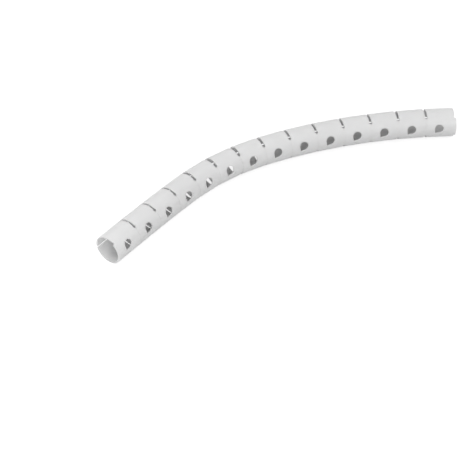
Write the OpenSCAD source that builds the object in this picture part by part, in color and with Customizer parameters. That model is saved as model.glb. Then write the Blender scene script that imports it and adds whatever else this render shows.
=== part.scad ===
// Slotted cable sleeve: one moulded tube, split along its length and cut by cross slots
// into ring-like segments that only a spine holds together, so that it bends. It lies flat
// in a gentle arc, with a drop-shaped hole in the spine of every segment.
//
// Frame: millimetres, +Z up. The origin is the centre of the near mouth, and the first
// segment runs from there along +X. The arc turns towards -Y, the side of the spine.

/* [Tube] */
// Outside diameter of the tube
outer_d = 22; // [14:0.5:40]
// Thickness of the wall
wall = 1; // [0.6:0.1:2]
// Width of the lengthwise split, opposite the spine
split_w = 1.2; // [0.4:0.1:4]

/* [Segments] */
// Number of segments
segments = 14; // [6:1:24]
// Length of one segment along the middle of the tube
pitch = 22.3; // [14:0.1:40]

/* [Slots] */
// Width of a cross slot at the spine, where the tube hinges
slot_w = 1.4; // [1.3:0.1:3]
// Width of the spine, round the outside between the ends of a slot
spine_w = 15.6; // [10:0.1:22]
// Where the spine sits, in degrees from the top towards the inside of the bend
spine_turn = 77; // [60:0.5:100]
// Diameter of the round end of a slot, a little wider than the slot
slot_end_d = 2.4; // [2:0.1:4]
// How far the spine reaches past each mouth, where the tube is cut through a slot
tongue = 1.2; // [0.3:0.1:2]

/* [Hinges] */
// Width of the crease across the spine, in line with each slot
crease_w = 0.3; // [0.2:0.05:0.6]
// Depth of the crease, on the outside and on the inside of the wall
crease_depth = 0.12; // [0.1:0.01:0.2]

/* [Holes] */
// Diameter of a hole's round end
hole_d = 6.8; // [3:0.1:8]
// Distance from the middle of the round end to the pointed tip
hole_tip = 4.9; // [4.2:0.1:6.5]
// Slope of the tip, in degrees down from the line along the tube
hole_slope = 54; // [0:1:90]
// How far each hole sits from the middle of its segment, towards the near mouth
hole_back = 0.9; // [0:0.1:3]
// Where the middle of the row of holes sits, in degrees from the top like the spine
hole_turn = 73.5; // [60:0.5:90]
// How far the row winds round the spine from its first hole to its last, in degrees
hole_drift = 12; // [0:1:20]

/* [Bend] */
// Bend at each slot of the nearly straight stretch at the near end, in degrees
near_bend = 0.6; // [0:0.1:3]
// Bend at the tightest slot
tight_bend = 7.9; // [3:0.1:9]
// Bend at each slot of the wide stretch at the far end
far_bend = 3.5; // [0:0.1:5]
// Where the bend is tightest, counted in slots from the near end
tight_slot = 5.4; // [2:0.1:10]
// How many slots the tight stretch reaches to each side
tight_reach = 3.1; // [1:0.1:6]

/* [Hidden] */
$fn = 96;

outer_r = outer_d / 2;
bore_r = outer_r - wall;
// Cutters run this far past what they cut
clear = 1;
// Each hinge reaches this far into the walls that it joins
hinge_hold = 1;
// The straight sides of a drop leave its round end just inside the circle
drop_blend = 0.97;
// The tube hinges on the middle line of the spine
hinge_y = -outer_r * sin(spine_turn);

// Degrees of turn round the outside for a length along it
function turn_of(length) = length / outer_r * 180 / PI;
spine_half = turn_of(spine_w / 2);
slot_end_turn = spine_half + turn_of(slot_end_d / 2);

// Bend in degrees at slot k: a smooth hump between the near and the far stretch
function bend(k) =
    let (away = min(1, abs(k - tight_slot) / tight_reach),
         hump = (1 + cos(180 * away)) / 2,
         plain = k < tight_slot ? near_bend : far_bend)
    plain + (tight_bend - plain) * hump;

// How far the joint before segment k leans for each unit of width; the mouths don't lean
function lean(k) = k == 0 || k == segments ? 0 : tan(bend(k) / 2);

// Puts its children in the frame of segment k, which starts where the one before it ends
module at_segment(k) {
    if (k == 0)
        children();
    else
        at_segment(k - 1)
            translate([pitch, 0, 0])
                rotate([0, 0, -bend(k)])
                    children();
}

// A sector of round bar about the X axis, centred on the spine
module spine_sector(half_turn, start_x, end_x) {
    reach = 2 * outer_d;
    rotate([spine_turn, 0, 0])
        translate([start_x, 0, 0])
            rotate([90, 0, 90])
                linear_extrude(height = end_x - start_x)
                    polygon([[0, 0],
                             [-reach * sin(half_turn), reach * cos(half_turn)],
                             [0, reach],
                             [reach * sin(half_turn), reach * cos(half_turn)]]);
}

// A tube about the X axis
module tube(outer, inner, start_x, end_x) {
    translate([start_x, 0, 0])
        rotate([0, 90, 0])
            difference() {
                cylinder(r = outer, h = end_x - start_x);
                translate([0, 0, -clear])
                    cylinder(r = inner, h = end_x - start_x + 2 * clear);
            }
}

// The tube of one segment, mitred to half a crease from its neighbours
module segment_tube(k) {
    start_x = k == 0 ? -tongue : crease_w / 2;
    end_x = k == segments - 1 ? pitch + tongue : pitch - crease_w / 2;
    start_lean = outer_d * lean(k);
    end_lean = outer_d * lean(k + 1);
    intersection() {
        tube(outer_r, bore_r, -outer_d, pitch + outer_d);
        linear_extrude(height = 2 * outer_d, center = true)
            polygon([[start_x + start_lean, -outer_d],
                     [end_x - end_lean, -outer_d],
                     [end_x + end_lean, outer_d],
                     [start_x - start_lean, outer_d]]);
    }
}

// Cuts everything but the spine between two places along the tube
module slot_cut(start_x, end_x) {
    difference() {
        translate([start_x, -outer_d, -outer_d])
            cube([end_x - start_x, 2 * outer_d, 2 * outer_d]);
        spine_sector(slot_end_turn, start_x - clear, end_x + clear);
    }
}

// The round ends of a slot, on both sides of the spine
module slot_ends() {
    for (side = [-1, 1])
        rotate([spine_turn + side * slot_end_turn, 0, 0])
            cylinder(d = slot_end_d, h = outer_r + clear);
}

// The lengthwise split of one segment, on the side away from the spine
module split() {
    rotate([spine_turn + 180, 0, 0])
        translate([-outer_d, -split_w / 2, 0])
            cube([pitch + 2 * outer_d, split_w, outer_r + clear]);
}

// The drop-shaped hole of segment k: a round end with two straight sides that meet in a tip
module drop_hole(k) {
    r = hole_d / 2;
    side_turn = acos(drop_blend * r / hole_tip);
    turn = hole_turn + hole_drift * (k / (segments - 1) - 0.5);
    translate([pitch / 2 - hole_back, 0, 0])
        rotate([turn, 0, 0])
            rotate([0, 0, 180 + hole_slope])
                linear_extrude(height = outer_r + clear)
                    union() {
                        circle(r = r);
                        polygon([[0, 0],
                                 drop_blend * r * [cos(side_turn), -sin(side_turn)],
                                 [hole_tip, 0],
                                 drop_blend * r * [cos(side_turn), sin(side_turn)]]);
                    }
}

// One segment: a ring that is open at the split, with half a slot at each end. Its rings
// are cut straight across, so a slot opens wider away from the spine where the tube bends.
module segment(k) {
    ring_start = k == 0 ? 0 : slot_w / 2 - hinge_y * lean(k);
    ring_end = k == segments - 1 ? pitch : pitch - slot_w / 2 + hinge_y * lean(k + 1);
    start_joint = k == 0 ? -slot_w / 2 : 0;
    end_joint = k == segments - 1 ? pitch + slot_w / 2 : pitch;
    difference() {
        segment_tube(k);
        split();
        drop_hole(k);
        slot_cut(-outer_d, ring_start);
        slot_cut(ring_end, pitch + outer_d);
        translate([start_joint, 0, 0])
            rotate([0, 0, atan(lean(k))])
                slot_ends();
        translate([end_joint, 0, 0])
            rotate([0, 0, -atan(lean(k + 1))])
                slot_ends();
    }
}

// The thin web that joins two segments at the spine, where the crease is
module hinge() {
    intersection() {
        tube(outer_r - crease_depth, bore_r + crease_depth, -hinge_hold, hinge_hold);
        spine_sector(spine_half - turn_of(crease_w), -outer_d, outer_d);
    }
}

module sleeve() {
    color([0.86, 0.87, 0.87]) {
        for (k = [0 : segments - 1])
            at_segment(k)
                segment(k);
        for (k = [1 : segments - 1])
            at_segment(k)
                rotate([0, 0, bend(k) / 2])
                    hinge();
    }
}

sleeve();
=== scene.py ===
"""Looks of the slotted cable sleeve: a white moulded tube on a pale floor under soft light."""

import math

import bpy
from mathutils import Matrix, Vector


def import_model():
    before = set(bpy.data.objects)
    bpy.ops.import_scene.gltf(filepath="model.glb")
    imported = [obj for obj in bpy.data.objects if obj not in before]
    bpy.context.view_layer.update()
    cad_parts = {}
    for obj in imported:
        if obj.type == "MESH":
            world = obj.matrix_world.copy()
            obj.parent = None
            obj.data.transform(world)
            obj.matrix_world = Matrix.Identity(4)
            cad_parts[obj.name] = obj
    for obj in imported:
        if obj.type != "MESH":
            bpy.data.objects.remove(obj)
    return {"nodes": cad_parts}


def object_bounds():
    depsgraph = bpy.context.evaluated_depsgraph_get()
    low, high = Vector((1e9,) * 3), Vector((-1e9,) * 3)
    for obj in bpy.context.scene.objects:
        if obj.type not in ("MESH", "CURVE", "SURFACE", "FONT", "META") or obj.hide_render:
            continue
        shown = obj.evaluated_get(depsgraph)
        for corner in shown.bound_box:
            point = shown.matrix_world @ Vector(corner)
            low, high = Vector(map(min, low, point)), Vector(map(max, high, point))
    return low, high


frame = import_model()
CAD_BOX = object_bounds()

# Camera, in metres and degrees: it looks at a point on the floor beside the arc
CAMERA_DISTANCE = 0.971
CAMERA_ELEVATION = 41.8
CAMERA_AZIMUTH = 52.87
CAMERA_TARGET = Vector((0.0759, -0.0537, -0.011))
CAMERA_CLIP_START = 0.05
CAMERA_LENS_MM = 103.3
CAMERA_SENSOR_MM = 36

# Lamps, in metres and watts
LAMP_SIZE = 0.9
KEY_PLACE = Vector((-0.3, 0.5, 1.0))
KEY_WATTS = 3.5
FILL_PLACE = Vector((-0.6, -0.8, 0.6))
FILL_WATTS = 4.5

# Surroundings, in metres
WHITE = (1, 1, 1, 1)
WORLD_STRENGTH = 0.62
FLOOR_Z = CAD_BOX[0].z
FLOOR_SIZE = 30
FLOOR_COLOUR = (0.5, 0.5, 0.5, 1)
FLOOR_GLOW = 0.72

# Plastic, with lengths in metres: its colour and roughness drift a little with the clouds
PLASTIC_IOR = 1.5
MILKINESS = 0.7
MILKY_DEPTH = 0.003
EVEN_RADIUS = (1.0, 1.0, 1.0)
CLOUD_SCALE = 60.0
CLOUD_DETAIL = 3.0
CLOUD_DARK_AT = 0.3
CLOUD_LIGHT_AT = 0.7
DARKER_TINT = (0.80, 0.80, 0.80, 1)
LIGHTER_TINT = (0.83, 0.83, 0.83, 1)
ROUGHNESS_FROM = 0.42
ROUGHNESS_TO = 0.52
GRAIN_SCALE = 2500.0
GRAIN_DETAIL = 2.0
GRAIN_STRENGTH = 0.08
GRAIN_DEPTH = 0.00005


def node_tree(owner):
    """The emptied node tree of a material or a world."""
    owner.use_nodes = True
    tree = owner.node_tree
    tree.nodes.clear()
    return tree


def add_node(tree, kind, **settings):
    node = tree.nodes.new(kind)
    for name, value in settings.items():
        setattr(node, name, value)
    return node


def noise(tree, place, scale, detail):
    node = add_node(tree, "ShaderNodeTexNoise")
    node.inputs["Scale"].default_value = scale
    node.inputs["Detail"].default_value = detail
    tree.links.new(place.outputs["Object"], node.inputs["Vector"])
    return node.outputs["Fac"]


def seen_directly(tree):
    """1 for what the camera sees, by itself or by a reflection or a refraction, and 0 for light."""
    ray = add_node(tree, "ShaderNodeLightPath")
    camera_or_glossy = add_node(tree, "ShaderNodeMath", operation="MAXIMUM")
    seen = add_node(tree, "ShaderNodeMath", operation="MAXIMUM")
    link = tree.links.new
    link(ray.outputs["Is Camera Ray"], camera_or_glossy.inputs[0])
    link(ray.outputs["Is Glossy Ray"], camera_or_glossy.inputs[1])
    link(camera_or_glossy.outputs[0], seen.inputs[0])
    link(ray.outputs["Is Transmission Ray"], seen.inputs[1])
    return seen.outputs[0]


def sleeve_plastic():
    """Satin white plastic, slightly milky, with a fine moulded grain and faint cloudiness."""
    material = bpy.data.materials.new("sleeve_plastic")
    tree = node_tree(material)
    link = tree.links.new
    output = add_node(tree, "ShaderNodeOutputMaterial")
    plastic = add_node(tree, "ShaderNodeBsdfPrincipled")
    plastic.inputs["IOR"].default_value = PLASTIC_IOR
    plastic.inputs["Subsurface Weight"].default_value = MILKINESS
    plastic.inputs["Subsurface Radius"].default_value = EVEN_RADIUS
    plastic.inputs["Subsurface Scale"].default_value = MILKY_DEPTH
    place = add_node(tree, "ShaderNodeTexCoord")

    clouds = noise(tree, place, CLOUD_SCALE, CLOUD_DETAIL)
    tint = add_node(tree, "ShaderNodeValToRGB")
    darker, lighter = tint.color_ramp.elements
    darker.position = CLOUD_DARK_AT
    darker.color = DARKER_TINT
    lighter.position = CLOUD_LIGHT_AT
    lighter.color = LIGHTER_TINT
    link(clouds, tint.inputs["Fac"])
    link(tint.outputs["Color"], plastic.inputs["Base Color"])

    satin = add_node(tree, "ShaderNodeMapRange")
    satin.inputs["To Min"].default_value = ROUGHNESS_FROM
    satin.inputs["To Max"].default_value = ROUGHNESS_TO
    link(clouds, satin.inputs["Value"])
    link(satin.outputs["Result"], plastic.inputs["Roughness"])

    bump = add_node(tree, "ShaderNodeBump")
    bump.inputs["Strength"].default_value = GRAIN_STRENGTH
    bump.inputs["Distance"].default_value = GRAIN_DEPTH
    link(noise(tree, place, GRAIN_SCALE, GRAIN_DETAIL), bump.inputs["Height"])
    link(bump.outputs["Normal"], plastic.inputs["Normal"])
    link(plastic.outputs["BSDF"], output.inputs["Surface"])
    return material


def floor():
    """A wide pale floor, plain white to the camera away from the sleeve's soft shadow."""
    bpy.ops.mesh.primitive_plane_add(size=FLOOR_SIZE, location=(0, 0, FLOOR_Z))
    plane = bpy.context.object
    plane.name = "floor"
    material = bpy.data.materials.new("floor_white")
    tree = node_tree(material)
    link = tree.links.new
    output = add_node(tree, "ShaderNodeOutputMaterial")
    paper = add_node(tree, "ShaderNodeBsdfDiffuse")
    paper.inputs["Color"].default_value = FLOOR_COLOUR
    glow = add_node(tree, "ShaderNodeEmission")
    level = add_node(tree, "ShaderNodeMath", operation="MULTIPLY")
    level.inputs[1].default_value = FLOOR_GLOW
    both = add_node(tree, "ShaderNodeAddShader")
    link(seen_directly(tree), level.inputs[0])
    link(level.outputs[0], glow.inputs["Strength"])
    link(paper.outputs[0], both.inputs[0])
    link(glow.outputs[0], both.inputs[1])
    link(both.outputs[0], output.inputs["Surface"])
    plane.data.materials.append(material)


def world():
    """Even light from all round, and plain white where the camera or a reflection sees it."""
    sky = bpy.data.worlds.new("studio")
    bpy.context.scene.world = sky
    tree = node_tree(sky)
    link = tree.links.new
    output = add_node(tree, "ShaderNodeOutputWorld")
    light = add_node(tree, "ShaderNodeBackground")
    light.inputs["Color"].default_value = WHITE
    light.inputs["Strength"].default_value = WORLD_STRENGTH
    backdrop = add_node(tree, "ShaderNodeBackground")
    backdrop.inputs["Color"].default_value = WHITE
    pick = add_node(tree, "ShaderNodeMixShader")
    link(seen_directly(tree), pick.inputs[0])
    link(light.outputs[0], pick.inputs[1])
    link(backdrop.outputs[0], pick.inputs[2])
    link(pick.outputs[0], output.inputs["Surface"])


def soft_lamp(name, place, watts):
    """A round soft lamp that faces the point the camera looks at."""
    data = bpy.data.lights.new(name, "AREA")
    data.shape = "DISK"
    data.size = LAMP_SIZE
    data.energy = watts
    lamp = bpy.data.objects.new(name, data)
    bpy.context.collection.objects.link(lamp)
    lamp.location = place
    lamp.rotation_mode = "QUATERNION"
    lamp.rotation_quaternion = (CAMERA_TARGET - lamp.location).to_track_quat("-Z", "Y")


def camera():
    """The photo's camera, placed by its distance, elevation and azimuth from its target."""
    data = bpy.data.cameras.new("photo_camera")
    data.sensor_fit = "HORIZONTAL"
    data.sensor_width = CAMERA_SENSOR_MM
    data.lens = CAMERA_LENS_MM
    data.clip_start = CAMERA_CLIP_START
    cam = bpy.data.objects.new("photo_camera", data)
    bpy.context.collection.objects.link(cam)
    turn = math.radians(CAMERA_AZIMUTH)
    rise = math.radians(CAMERA_ELEVATION)
    back = Vector((-math.sin(turn) * math.cos(rise), -math.cos(turn) * math.cos(rise), math.sin(rise)))
    cam.location = CAMERA_TARGET + CAMERA_DISTANCE * back
    cam.rotation_mode = "QUATERNION"
    cam.rotation_quaternion = (-back).to_track_quat("-Z", "Y")
    bpy.context.scene.camera = cam


def dress(name, material):
    node = frame["nodes"][name]
    node.data.materials.clear()
    node.data.materials.append(material)


bpy.context.scene.view_settings.view_transform = "Standard"
camera()
world()
floor()
soft_lamp("key", KEY_PLACE, KEY_WATTS)
soft_lamp("fill", FILL_PLACE, FILL_WATTS)
dress("sleeve", sleeve_plastic())
